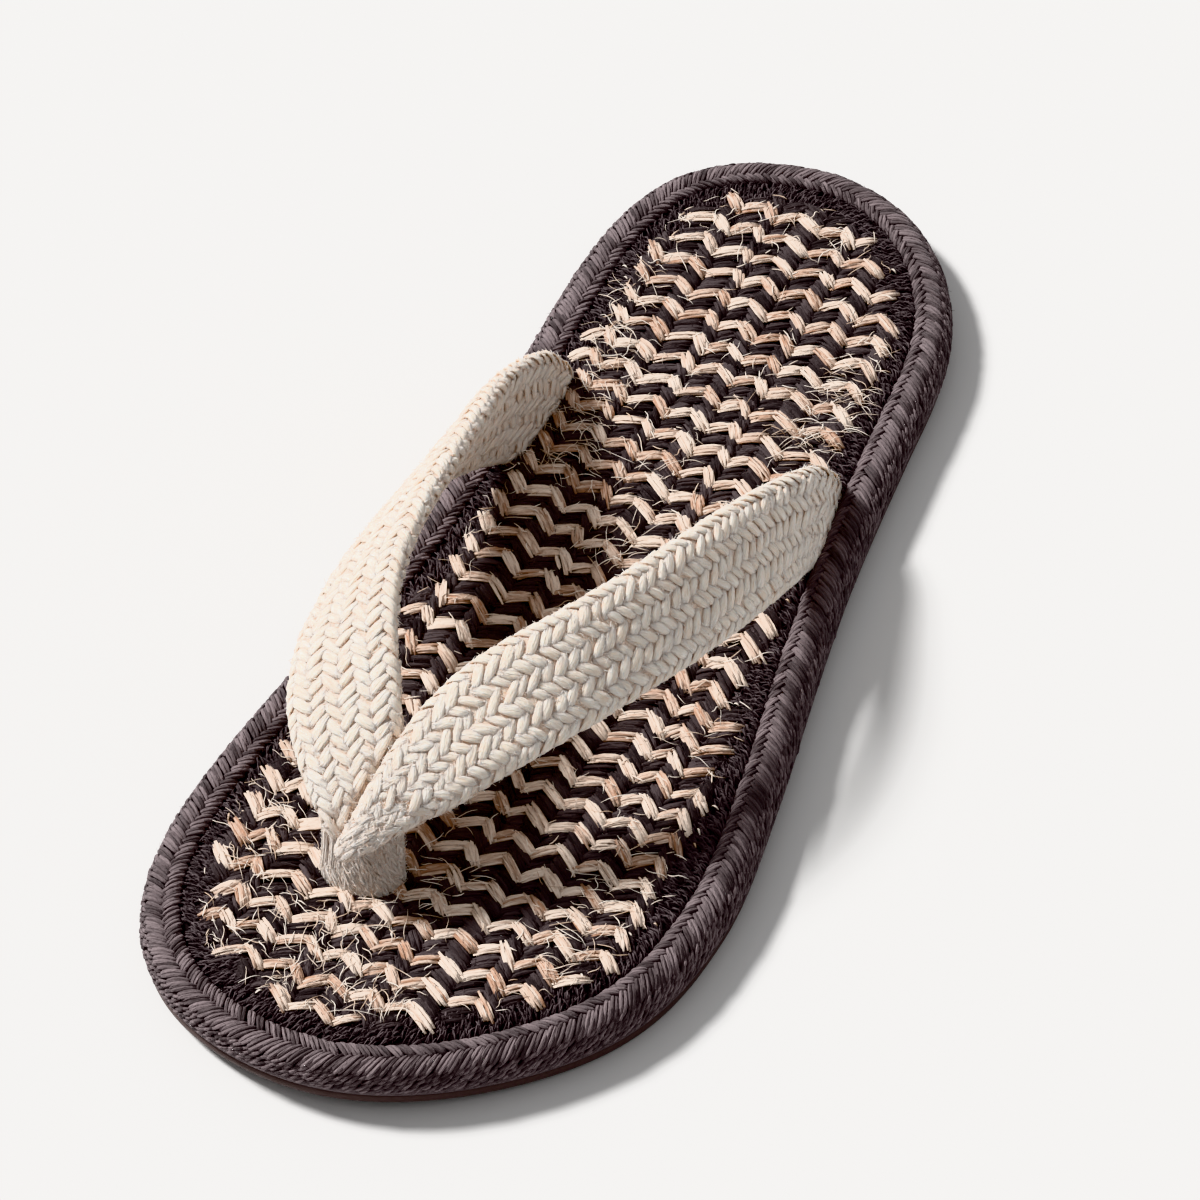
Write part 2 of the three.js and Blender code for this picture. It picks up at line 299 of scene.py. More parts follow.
# Yarn materials: fibre noise is stretched along the thread, in cycles per millimetre.
FIBRE_STRETCH = 0.18
FIBRE_DETAIL = 3.0
FIBRE_ROUGHNESS = 0.65
FIBRE_DEPTH = 0.0009
SHADE_SHARE = 0.55
# Lift at and below which the painted crevice shade (the deep colour) is full.
CREVICE_SHADE_LIFT = 0.1
SHEEN_SOFTNESS = 0.45
SPECULAR = 0.25
GLOW_RADIUS = (1.0, 0.8, 0.65)
GLOW_DEPTH = 0.0016


def yarn_material(name, deep, low, high, fibre_scale, bump, roughness, sheen, sheen_tint,
                  spread=1.0, glow=0.0, window=(0.42, 1.0), crest=0.75):
    """Fibre look: painted crevice shade (the deep colour) where lift is low, low to high per strand and along
    the fibres, lengthwise bump.
    """
    material = bpy.data.materials.new(name)
    material.use_nodes = True
    nodes = material.node_tree.nodes
    links = material.node_tree.links
    shader = nodes["Principled BSDF"]
    shader.inputs["Roughness"].default_value = roughness
    shader.inputs["Specular IOR Level"].default_value = SPECULAR
    shader.inputs["Sheen Weight"].default_value = sheen
    shader.inputs["Sheen Roughness"].default_value = SHEEN_SOFTNESS
    shader.inputs["Sheen Tint"].default_value = (*sheen_tint, 1)
    shader.inputs["Subsurface Weight"].default_value = glow
    shader.inputs["Subsurface Radius"].default_value = GLOW_RADIUS
    shader.inputs["Subsurface Scale"].default_value = GLOW_DEPTH
    thread = nodes.new("ShaderNodeAttribute")
    thread.attribute_name = "thread"
    shade = nodes.new("ShaderNodeAttribute")
    shade.attribute_name = "shade"
    lift = nodes.new("ShaderNodeAttribute")
    lift.attribute_name = "lift"
    stretch = nodes.new("ShaderNodeMapping")
    stretch.inputs["Scale"].default_value = (fibre_scale * FIBRE_STRETCH, fibre_scale, fibre_scale)
    links.new(thread.outputs["Vector"], stretch.inputs["Vector"])
    fibre = nodes.new("ShaderNodeTexNoise")
    fibre.inputs["Scale"].default_value = 1.0
    fibre.inputs["Detail"].default_value = FIBRE_DETAIL
    fibre.inputs["Roughness"].default_value = FIBRE_ROUGHNESS
    links.new(stretch.outputs["Vector"], fibre.inputs["Vector"])
    add = nodes.new("ShaderNodeMath")
    add.operation = "MULTIPLY_ADD"
    add.inputs[1].default_value = SHADE_SHARE * spread
    links.new(shade.outputs["Fac"], add.inputs[0])
    links.new(fibre.outputs["Fac"], add.inputs[2])
    level = nodes.new("ShaderNodeMapRange")
    level.inputs["From Min"].default_value = window[0]
    level.inputs["From Max"].default_value = window[1]
    links.new(add.outputs["Value"], level.inputs["Value"])
    colour = nodes.new("ShaderNodeMix")
    colour.data_type = "RGBA"
    colour.inputs["A"].default_value = (*low, 1)
    colour.inputs["B"].default_value = (*high, 1)
    links.new(level.outputs["Result"], colour.inputs["Factor"])
    # Painted shade: the deep colour is mixed in where lift is low, in crevices and on strand undersides.
    height = nodes.new("ShaderNodeMapRange")
    height.interpolation_type = "SMOOTHSTEP"
    height.inputs["From Min"].default_value = CREVICE_SHADE_LIFT
    height.inputs["From Max"].default_value = crest
    links.new(lift.outputs["Fac"], height.inputs["Value"])
    depth = nodes.new("ShaderNodeMix")
    depth.data_type = "RGBA"
    depth.inputs["A"].default_value = (*deep, 1)
    links.new(height.outputs["Result"], depth.inputs["Factor"])
    links.new(colour.outputs["Result"], depth.inputs["B"])
    links.new(depth.outputs["Result"], shader.inputs["Base Color"])
    relief = nodes.new("ShaderNodeBump")
    relief.inputs["Strength"].default_value = bump
    relief.inputs["Distance"].default_value = FIBRE_DEPTH
    links.new(fibre.outputs["Fac"], relief.inputs["Height"])
    links.new(relief.outputs["Normal"], shader.inputs["Normal"])
    return material


# Each yarn's deep colour is painted crevice shade, laid where lift is low.
DARK_YARN = yarn_material(
    "dark yarn", deep=(0.009, 0.006, 0.007), low=(0.048, 0.038, 0.040), high=(0.215, 0.174, 0.182),
    fibre_scale=1.7, bump=1.0, roughness=0.85, sheen=0.18, sheen_tint=(0.70, 0.62, 0.65))
DARK_BORDER = yarn_material(
    "dark border yarn", deep=(0.008, 0.005, 0.006), low=(0.030, 0.023, 0.025), high=(0.140, 0.113, 0.120),
    fibre_scale=2.4, bump=1.0, roughness=0.9, sheen=0.15, sheen_tint=(0.70, 0.62, 0.65))
DARK_ROWS = yarn_material(
    "dark row yarn", deep=(0.005, 0.003, 0.003), low=(0.015, 0.011, 0.012), high=(0.080, 0.064, 0.067),
    fibre_scale=1.6, bump=1.0, roughness=0.9, sheen=0.12, sheen_tint=(0.70, 0.60, 0.62))
COTTON = yarn_material(
    "cream cotton", deep=(0.84, 0.57, 0.42), low=(0.92, 0.71, 0.58), high=(1.0, 0.89, 0.79),
    fibre_scale=2.0, bump=1.0, roughness=0.95, sheen=0.45, sheen_tint=(1.0, 0.92, 0.85),
    spread=0.2, glow=0.5, window=(0.30, 0.72), crest=0.85)
COTTON_FUZZ = yarn_material(
    "cream cotton fuzz", deep=(0.78, 0.55, 0.42), low=(0.76, 0.56, 0.44), high=(1.0, 0.97, 0.93),
    fibre_scale=1.0, bump=0.2, roughness=0.95, sheen=0.4, sheen_tint=(1.0, 0.94, 0.88),
    spread=1.6, glow=0.3, window=(0.5, 1.2))
STRAW = yarn_material(
    "straw", deep=(0.15, 0.070, 0.040), low=(0.42, 0.235, 0.155), high=(1.0, 0.85, 0.735),
    fibre_scale=1.5, bump=1.0, roughness=0.7, sheen=0.1, sheen_tint=(1.0, 0.94, 0.88),
    spread=0.8, window=(0.40, 0.92))
FRAYED = yarn_material(
    "frayed straw", deep=(0.45, 0.29, 0.19), low=(0.60, 0.42, 0.30), high=(1.0, 0.92, 0.84),
    fibre_scale=1.9, bump=0.5, roughness=0.6, sheen=0.1, sheen_tint=(1.0, 0.95, 0.9))
RUBBER = yarn_material(
    "brown rubber", deep=(0.060, 0.043, 0.041), low=(0.070, 0.050, 0.048), high=(0.100, 0.073, 0.071),
    fibre_scale=1.5, bump=0.25, roughness=0.6, sheen=0.05, sheen_tint=(0.8, 0.75, 0.75))

# Outsole wall as (inset, height); the top and the underside are drawn in to a middle line.
SOLE_SECTION = (
    (12.0, 0.05), (3.0, 0.0), (1.5, 0.0), (1.0, 0.35), (0.85, 1.0), (0.95, 1.7), (1.3, 2.05), (8.0, 2.1),
)
SOLE_TURNS = 360
SOLE_MIDDLE = np.array([0.0, 0.86])
SOLE_TOP = 2.1
UNDERSIDE_MIDDLE = 0.15
UNDERSIDE_PARTS = (0.35, 0.7)
UNDERSIDE_HEIGHT = 0.1


def sole_block():
    """Outsole rows: middle line, blends of it with the first inset, each section point carried around,
    and the middle line again on top."""
    angle = np.linspace(0, 2 * np.pi, SOLE_TURNS, endpoint=False)
    middle = outline(angle) * SOLE_MIDDLE
    edge = inset_ring(angle, SOLE_SECTION[0][0])
    rows = [raised(middle, UNDERSIDE_MIDDLE)]
    rows += [raised(middle * (1 - part) + edge * part, UNDERSIDE_HEIGHT) for part in UNDERSIDE_PARTS]
    rows += [raised(inset_ring(angle, inset), height) for inset, height in SOLE_SECTION]
    rows.append(raised(middle, SOLE_TOP))
    return skin(np.stack(rows, 1), close_rows=True, lift=1.0)


# Rim: a dark core under two arms of slanted strands that meet along a spine.
PLAIT_PITCH = 2.07
PLAIT_COUNT = int(round(AROUND / PLAIT_PITCH))
PLAIT_STATIONS = 6
SPINE_PLACE = 11.4
SPINE_TOE_DROP = 2.0
ARM_START = 0.9
ARM_CROSSING = 0.35
ARM_RUN = 4.4
OUTER_ARM = 4.8
INNER_ARM_RUN = 3.6
INNER_ARM_TUCK = 0.1
OUTER_HALF = 0.84
INNER_HALF = 0.80
CORE_SINK = -0.75
CORE_FOOT = 2.0
CORE_WALL = 4.0
WALL_ROWS = 6
WALL_BITS_PITCH = 1.35
WALL_FIRST = 3.7
WALL_STEP = 0.8
WALL_FOOT = 2.0
WALL_BIT_RUN = 2.3
WALL_BIT_DROP = 1.5


def spine_height(s):
    """How far up the section the spine runs: place - drop * ((1 + cos(2 pi s / around)) / 2)^6."""
    toeness = 0.5 + 0.5 * np.cos(2 * np.pi * s / AROUND)
    return SPINE_PLACE - SPINE_TOE_DROP * toeness ** 6


def rim_core():
    """Core of the rim: the section lowered by CORE_SINK above its foot, and carried around."""
    s = np.linspace(0, AROUND, 260, endpoint=False)
    w = np.linspace(0, RIM_WIDTH, 16)
    grid_s, grid_w = np.meshgrid(s, w, indexing="ij")
    points, _ = rim_point(grid_s, grid_w, np.where(grid_w < CORE_FOOT, 0.0, CORE_SINK))
    flat, quads, thread, shade, _ = skin(points, close_rows=True)
    # Painted shade: the top of the core, under the arms, takes lift 0.15 and so mostly the deep colour; the
    # wall, at 0.6, only a little.
    lift = np.where(grid_w < CORE_WALL, 0.6, 0.15).ravel()
    return flat, quads, thread, shade, lift


def plait_arms():
    """Slanted strands: s = s_k - run t, w = spine +/- crossing -/+ reach t, out = swelling of the strand."""
    t = np.linspace(0, 1, PLAIT_STATIONS)
    s0 = np.arange(PLAIT_COUNT) * AROUND / PLAIT_COUNT
    s0 = s0 + rng.normal(0, 0.13, PLAIT_COUNT)
    spine = spine_height(s0)
    wander = rng.normal(0, 0.12, PLAIT_COUNT)
    outer_reach = np.full(PLAIT_COUNT, -OUTER_ARM)
    inner_reach = RIM_WIDTH - spine + INNER_ARM_TUCK
    arms = (
        (s0, ARM_RUN, ARM_CROSSING, outer_reach, OUTER_HALF),
        (s0 + AROUND / PLAIT_COUNT / 2, INNER_ARM_RUN, -ARM_CROSSING, inner_reach, INNER_HALF),
    )
    blocks = []
    for start, run, crossing, reach, half in arms:
        s = start[:, None] + ARM_START - run * t
        w = (spine + wander + crossing)[:, None] + reach[:, None] * t
        out = -0.45 + 0.42 * arch(t, 0.7) + rng.normal(0, 0.06, (PLAIT_COUNT, 1))
        points, normal = rim_point(s, w, out)
        ends = t * 0.92 + 0.04
        blocks += plied(points, normal, half * arch(ends, 0.32), 0.5 * arch(ends, 0.4), plies=2)
    return blocks


def wall_bits():
    """Short slanted bits in staggered rows on the wall: s = s_k - run t, w = row - drop t."""
    blocks = []
    t = np.linspace(0, 1, 4)
    ends = t * 0.9 + 0.05
    count = int(AROUND / WALL_BITS_PITCH)
    for row in range(WALL_ROWS):
        s0 = (np.arange(count) + 0.5 * (row % 2)) * AROUND / count + rng.normal(0, 0.2, count)
        top = spine_height(s0) - WALL_FIRST - WALL_STEP * row + rng.normal(0, 0.15, count)
        keep = top > WALL_FOOT
        s = s0[keep, None] - WALL_BIT_RUN * t
        w = top[keep, None] - WALL_BIT_DROP * t
        out = -0.4 + 0.2 * arch(t) + rng.normal(0, 0.08, (keep.sum(), 1))
        points, normal = rim_point(s, w, out)
        blocks.append(strands(points, normal, 0.42 * arch(ends, 0.4), 0.38 * arch(ends, 0.4)))
    return blocks


def rim_fuzz(number):
    """Dark hairs over the rim."""
    s = rng.uniform(0, AROUND, number)
    w = rng.uniform(3.5, RIM_WIDTH, number)
    root, normal = rim_point(s, w, 0.0)
    ahead = unit(rim_point(s + 0.5, w, 0.0)[0] - root)
    return hairs(root, normal, ahead, longest=1.1, thick=0.045)


# Mat: floor, border of dark pile, dark rows and straw rows in a zig-zag.
MAT_FLOOR = 8.1
MAT_EDGE = ((7.0, 5.5), (7.6, 7.2), (8.4, 8.0), (12.0, MAT_FLOOR))
MAT_MIDDLE = np.array([0.0, 0.8])
MAT_PARTS = (0.3, 0.65, 1.0)
MAT_TURNS = 360
ROW_PITCH = 6.7
ROW_FIRST = -116.5
ROW_COUNT = 36
ZIG_PERIOD = 8.3
ZIG_FIRST = -40.9
ZIG_COUNT = 12
ZIG_RISE = 1.7
ZIG_LEAN = 0.35
STRAW_INSET = 12.6
STRAW_CREST = 9.45
STITCH_OVERLAP = (0.5, 0.35)
STITCH_DROP = (0.0, 0.18)
DARK_SHIFT = 0.95


def mat_width(inset):
    """The mat's half widths on both sides as functions of y, at a given inset from the outline."""
    point = inset_ring(TABLE_ANGLE, inset)
    right = TABLE_ANGLE <= np.pi
    order = np.argsort(point[right][:, 1])
    right_y = point[right][order]
    order = np.argsort(point[~right][:, 1])
    left_y = point[~right][order]
    return left_y, right_y


STRAW_LEFT, STRAW_RIGHT = mat_width(STRAW_INSET)


def straw_reach(x, y):
    """Distance inside the straw field's sides, negative outside it."""
    left = np.interp(y, STRAW_LEFT[:, 1], STRAW_LEFT[:, 0], left=99, right=99)
    right = np.interp(y, STRAW_RIGHT[:, 1], STRAW_RIGHT[:, 0], left=-99, right=-99)
    return np.minimum(x - left, right - x)


def mat_floor():
    """Floor of the mat: the outline at growing inset, then blends of the last inset with the middle line."""
    angle = np.linspace(0, 2 * np.pi, MAT_TURNS, endpoint=False)
    middle = outline(angle) * MAT_MIDDLE
    edge = inset_ring(angle, MAT_EDGE[-1][0])
    rows = [raised(inset_ring(angle, inset), height) for inset, height in MAT_EDGE]
    rows += [raised(edge * (1 - part) + middle * part, MAT_FLOOR) for part in MAT_PARTS]
    # The floor is dark yarn; lift 0.1 also paints it with the deep colour, as shade under the pile and rows.
    return skin(np.stack(rows, 1), close_rows=True, lift=0.1)


def zig_points():
    """Row r, turn j: x = x0 + j period/2 + drift, y = row place + rise on even turns, - rise on odd ones,
    and the rows slope down to the lateral side, most of all near y = -5."""
    row, turn = np.meshgrid(np.arange(ROW_COUNT), np.arange(2 * ZIG_COUNT + 1), indexing="ij")
    y0 = ROW_FIRST + row * ROW_PITCH
    column = rng.normal(0, 0.45, 2 * ZIG_COUNT + 1)
    drift = 1.1 * np.sin(y0 / 37.0 + 0.6) + 0.5 * np.sin(y0 / 13.0 + turn)
    x = ZIG_FIRST + turn * ZIG_PERIOD / 2 + column[turn] + drift + rng.normal(0, 0.28, row.shape)
    x = x - np.where(turn % 2 == 1, ZIG_LEAN, 0.0)
    rise = np.where(turn % 2 == 0, ZIG_RISE, -ZIG_RISE)
    slope = 0.02 + 0.17 * np.exp(-((y0 + 5.0) / 50.0) ** 2)
    y = y0 + rise - slope * (x - 3.0) + rng.normal(0, 0.22, row.shape)
    return x, y


def stitch_rows(x, y, shift, half_width, plies, base, high, wide, ragged=0.5):
    """Stitches between neighbouring turns of every row. Each is a bed of flat plies: place across
    r = half_width (2 (k + 1/2) / plies - 1), height = base + crown (1 - (r / half_width)^2) + swelling."""
    blocks = []
    t = np.linspace(0, 1, 4)
    ends = t * 0.84 + 0.08
    for kind in (0, 1):
        x0 = x[:, kind:-1:2].ravel()
        x1 = x[:, kind + 1::2].ravel()
        y0 = y[:, kind:-1:2].ravel() + shift
        y1 = y[:, kind + 1::2].ravel() + shift
        keep = straw_reach((x0 + x1) / 2, (y0 + y1) / 2) > rng.uniform(-1.4, 1.0, len(x0))
        x0, x1, y0, y1 = x0[keep], x1[keep], y0[keep], y1[keep]
        number = len(x0)
        direction = unit(np.stack([x1 - x0, y1 - y0], -1))
        side = np.stack([-direction[:, 1], direction[:, 0]], -1)
        over = STITCH_OVERLAP[kind]
        tone = rng.uniform(0, 1, number)
        size = rng.uniform(0.85, 1.15, number)[:, None]
        length = np.hypot(x1 - x0, y1 - y0)
        order = rng.permuted(np.tile(np.arange(plies), (number, 1)), axis=1)
        for ply in range(plies):
            place = 2 * (ply + 0.5) / plies - 1
            start = -over + rng.normal(0, ragged, number)
            finish = over + rng.normal(0, ragged, number)
            run = start[:, None] + (length + finish - start)[:, None] * t
            bow = rng.normal(0, 0.13, (number, 1)) * np.sin(np.pi * t)
            skew = rng.normal(0, 0.1, (number, 1)) * (1 - 2 * t)
            cross = half_width * size * 0.86 * place + (bow + skew)
            px = x0[:, None] + direction[:, :1] * run + side[:, :1] * cross
            py = y0[:, None] + direction[:, 1:] * run + side[:, 1:] * cross
            stack = order[:, ply, None] / plies - 0.5
            crown = 0.5 * high * (1 - place ** 2) + 0.55 * high * stack - STITCH_DROP[kind]
            points = raised(np.stack([px, py], -1), base + crown + high * arch(t, 0.6))
            half = half_width * size * wide * rng.uniform(0.8, 1.25, (number, 1)) * arch(ends, 0.35)
            thick = 0.45 * high * arch(ends, 0.3)
            lean = np.stack([rng.normal(0, 0.22, number), rng.normal(0, 0.22, number), np.ones(number)], -1)
            shade = np.clip(tone + rng.normal(0, 0.22, number), 0, 1)
            blocks.append(strands(points, lean[:, None], half, thick, shade=shade))
    return blocks


def row_hairs(x, y, number):
    """Fine straw fibres that stand out of the rows along their stitches, curled sideways by t^2."""
    row = rng.integers(0, x.shape[0], number)
    turn = rng.integers(0, x.shape[1] - 1, number)
    part = rng.uniform(0, 1, number)
    start = np.stack([x[row, turn], y[row, turn]], -1)
    finish = np.stack([x[row, turn + 1], y[row, turn + 1]], -1)
    flat = start * (1 - part[:, None]) + finish * part[:, None] + rng.normal(0, 0.7, (number, 2))
    keep = straw_reach(flat[:, 0], flat[:, 1]) > -1.5
    flat, start, finish = flat[keep], start[keep], finish[keep]
    number = len(flat)
    ahead = unit(finish - start)
    turned = rng.normal(0, 0.4, number)
    ahead = np.stack([ahead[:, 0] * np.cos(turned) - ahead[:, 1] * np.sin(turned),
                      ahead[:, 0] * np.sin(turned) + ahead[:, 1] * np.cos(turned)], -1)
    ahead = ahead * rng.choice([-1.0, 1.0], (number, 1))
    t = np.linspace(0, 1, 4)
    length = rng.uniform(1.2, 3.2, (number, 1))
    side = np.stack([-ahead[:, 1], ahead[:, 0]], -1)
    run = flat[:, None] + ahead[:, None] * (length * (t - 0.3))[..., None]
    run = run + side[:, None] * (rng.normal(0, 0.8, (number, 1)) * t ** 2)[..., None]
    height = STRAW_CREST + rng.uniform(-0.1, 0.45, (number, 1)) + rng.uniform(-0.2, 0.5, (number, 1)) * t
    half = rng.uniform(0.06, 0.16, (number, 1)) * arch(t * 0.85 + 0.08, 0.5)
    return strands(raised(run, height), UP, half, 0.6 * half, lift=0.95)


def flat_fuzz(flat, height, longest, thick, upright=1.0):
    """Hairs over plan points of the mat at one height."""
    root = raised(flat, height)
    normal = np.broadcast_to(UP, root.shape)
    ahead = np.broadcast_to(TOWARDS_LATERAL, root.shape)
    return hairs(root, normal, ahead, longest, thick, upright)


def row_fuzz(x, y, number):
    """Dark hairs lying over the dark rows between the straw rows."""
    row = rng.integers(0, x.shape[0], number)
    turn = rng.integers(0, x.shape[1] - 1, number)
    part = rng.uniform(0, 1, number)
    px = x[row, turn] * (1 - part) + x[row, turn + 1] * part
    py = y[row, turn] * (1 - part) + y[row, turn + 1] * part + ROW_PITCH / 2 + rng.uniform(-1.9, 1.9, number)
    keep = straw_reach(px, py) > -2.0
    return flat_fuzz(np.stack([px[keep], py[keep]], -1), height=9.15, longest=2.2, thick=0.08, upright=0.35)


def border_fuzz(number):
    """Dark hairs over the border."""
    s = rng.uniform(0, AROUND, number)
    inset = rng.uniform(7.5, 14.0, number)
    return flat_fuzz(inset_point(at_length(s), inset), height=9.1, longest=1.6, thick=0.06)


def border_loops(count):
    """Fine pile between the rim and the straw: short strands that rise, lean inwards and lie down again."""
    t = np.linspace(0, 1, 3)
    s = rng.uniform(0, AROUND, count)
    depth = rng.uniform(8.2, 15.2, count)
    length = rng.uniform(2.2, 4.4, count)
    turn = 0.6 + 0.35 * np.sin(s / 9.0) + rng.normal(0, 0.28, count)
    along = s[:, None] + np.sin(turn)[:, None] * length[:, None] * (t - 0.5)
    inward = depth[:, None] + np.cos(turn)[:, None] * length[:, None] * (t - 0.5)
    flat = inset_point(at_length(along), np.maximum(inward, 7.6))
    points = raised(flat, 8.3 + rng.uniform(0.3, 1.0, (count, 1)) * arch(t, 0.6))
    half = rng.uniform(0.15, 0.27, (count, 1)) * np.array([0.7, 1.0, 0.5])
    return strands(points, UP, half, 0.8 * half)


def specks(count):
    """Straw ends that show through the dark border."""
    s = rng.uniform(0, AROUND, count)
    inset = rng.uniform(9.8, 13.4, count)
    t = np.linspace(0, 1, 4)
    turn = rng.uniform(0, 2 * np.pi, count)
    centre = inset_point(at_length(s), inset)
    length = rng.uniform(0.8, 2.0, count)
    heading = np.stack([np.cos(turn), np.sin(turn)], -1)
    flat = centre[:, None] + heading[:, None] * (length[:, None] * (t - 0.5))[..., None]
    half = arch(t * 0.8 + 0.1, 0.4)
    return strands(raised(flat, 8.9 + 0.35 * arch(t)), UP, 0.2 * half, 0.1 * half, sides=6)


# Patches of frayed straw: x, y, spread x, spread y, number, direction in degrees.
FRAYS = np.array([
    (-17.0, 42.0, 6.0, 11.0, 230, 150), (-22.0, 66.0, 5.0, 8.0, 150, 165), (-22.0, 82.0, 4.0, 8.0, 60, 160),
    (28.0, 58.0, 6.0, 7.0, 190, 20), (28.0, 73.0, 4.0, 8.0, 110, 10), (0.0, 108.0, 13.0, 5.0, 110, 80),
    (-8.0, -98.0, 9.0, 9.0, 260, 120), (-1.0, -110.0, 13.0, 4.0, 150, 100),
    (-27.0, -80.0, 4.0, 10.0, 130, 150), (36.0, -78.0, 4.0, 12.0, 130, 20),
    (4.0, 15.0, 4.0, 26.0, 150, 60), (36.0, -35.0, 4.0, 25.0, 90, 10),
    (-22.0, 0.0, 3.0, 20.0, 60, 170), (5.0, -80.0, 8.0, 8.0, 90, 40),
])
FRAY_SHARE = 0.55


def fray_fibres():
    """Loose straw fibres: a line of length l curled sideways by t^2 and sin(2 pi t), lifted by sin(pi t)."""
    blocks = []
    t = np.linspace(0, 1, 6)
    for x, y, wide, deep, number, heading in FRAYS:
        number = int(number * FRAY_SHARE)
        px = rng.normal(x, wide, number)
        py = rng.normal(y, deep, number)
        keep = straw_reach(px, py) > -2.5
        px, py = px[keep], py[keep]
        count = len(px)
        turn = np.radians(heading) + rng.normal(0, 0.6, count) + np.pi * rng.integers(0, 2, count)
        length = rng.gamma(4.0, 0.75, count) + 0.8
        ahead = np.stack([np.cos(turn), np.sin(turn)], -1)
        side = np.stack([-ahead[:, 1], ahead[:, 0]], -1)
        curl = rng.normal(0, 0.22, (count, 1)) * length[:, None] * t ** 2
        wave = rng.normal(0, 0.22, (count, 1)) * np.sin(2 * np.pi * t)
        flat = np.stack([px, py], -1)[:, None] + ahead[:, None] * (length[:, None] * (t - 0.5))[..., None]
        flat = flat + side[:, None] * (curl + wave)[..., None]
        rise = rng.gamma(2.0, 0.2, (count, 1)) * np.sin(np.pi * t) + rng.gamma(1.2, 0.25, (count, 1)) * t ** 2
        half = rng.uniform(0.05, 0.12, (count, 1)) * arch(t * 0.85 + 0.08, 0.5)
        blocks.append(strands(raised(flat, 9.5 + rise), UP, half, half * 0.6, lift=0.95))
    return blocks


# Straps: rows of inner edge and outer edge points along each strap.
LATERAL_STRAP = np.array([
    (-8.4, -87.0, 20.4, -6.0, -88.0, 19.0), (-7.5, -85.8, 24.2, -2.4, -87.4, 21.4),
    (-6.6, -82.6, 27.6, 0.9, -84.4, 23.6), (-5.6, -77.6, 30.8, 4.7, -80.3, 25.2),
    (-4.4, -70.0, 33.4, 9.4, -75.2, 26.8), (-0.4, -58.8, 38.6, 14.8, -68.0, 29.2),
    (5.8, -49.0, 42.3, 20.7, -59.2, 31.0), (13.8, -37.2, 44.0, 27.3, -46.0, 30.5),
    (20.0, -23.0, 43.0, 33.0, -31.0, 28.5), (24.3, -7.0, 39.5, 36.8, -17.0, 25.5),
    (27.3, 8.0, 34.6, 38.7, -3.5, 21.5), (29.8, 23.0, 28.0, 39.0, 9.0, 16.0),
    (32.6, 38.5, 19.5, 38.0, 20.5, 9.5), (33.4, 50.5, 5.6, 36.4, 24.5, 5.6),
])
MEDIAL_STRAP = np.array([
    (-1.5, -82.0, 13.0, -11.5, -82.0, 13.0), (0.5, -78.8, 23.0, -13.8, -83.5, 22.0),
    (-3.0, -71.0, 30.5, -19.5, -79.0, 26.5), (-7.8, -61.0, 37.5, -26.8, -69.0, 30.0),
    (-13.4, -50.5, 42.0, -31.2, -56.5, 31.0), (-17.5, -38.0, 44.5, -32.7, -43.0, 30.5),
    (-20.0, -23.5, 44.0, -33.5, -29.0, 28.5), (-22.0, -7.5, 40.8, -33.3, -15.0, 25.5),
    (-24.5, 12.0, 36.0, -32.3, 0.5, 21.5), (-27.3, 30.0, 29.0, -30.0, 13.5, 15.8),
    (-26.6, 46.5, 20.0, -27.0, 24.5, 9.5), (-25.6, 57.0, 5.6, -25.6, 30.0, 5.6),
])
HALF_THICK = 2.7
HALF_WIDE = 10.4
STRAP_STEPS = 1200
STRAP_SLOPE_STEP = 0.35
STRAP_CORE_SINK = -0.34
BRAID_COLUMNS = 16
BRAID_STATIONS = 6
BRAID_PITCH = 2.75
BRAID_LEAN = 4.3
BRAID_OVERLAP = 1.5
BRAID_HALF = 1.12
BRAID_HIGH = 0.42

# Seam where the two straps' inner edges press together over the toe post.
SEAM_Y = np.array([-92.0, -87.0, -84.5, -81.0, -76.0, -73.0, -69.4, -62.0])
SEAM_X = np.array([-8.6, -8.3, -7.7, -6.4, -5.8, -4.7, -3.9, -5.0])
SEAM_WIDTH = 1.9
SEAM_DEPTH = 2.3
SEAM_END = -58.0
SEAM_FADE = 4.0


def oval(turn):
    """Strap section on a unit square: (sign(cos) |cos|^0.6, sign(sin) |sin|^0.85)."""
    c = np.cos(turn)
    s = np.sin(turn)
    return np.stack([np.sign(c) * np.abs(c) ** 0.6, np.sign(s) * np.abs(s) ** 0.85], -1)


SECTION_SHAPE = oval(np.linspace(0, 2 * np.pi, 721)) * np.array([HALF_WIDE, HALF_THICK])
SECTION_RUN = running_length(SECTION_SHAPE)
GIRTH = SECTION_RUN[-1]


def oval_value(a, column):
    """Sideways (column 0) or outward (column 1) place on the strap section at distance a around it."""
    return np.interp(np.mod(a, GIRTH), SECTION_RUN, SECTION_SHAPE[:, column])


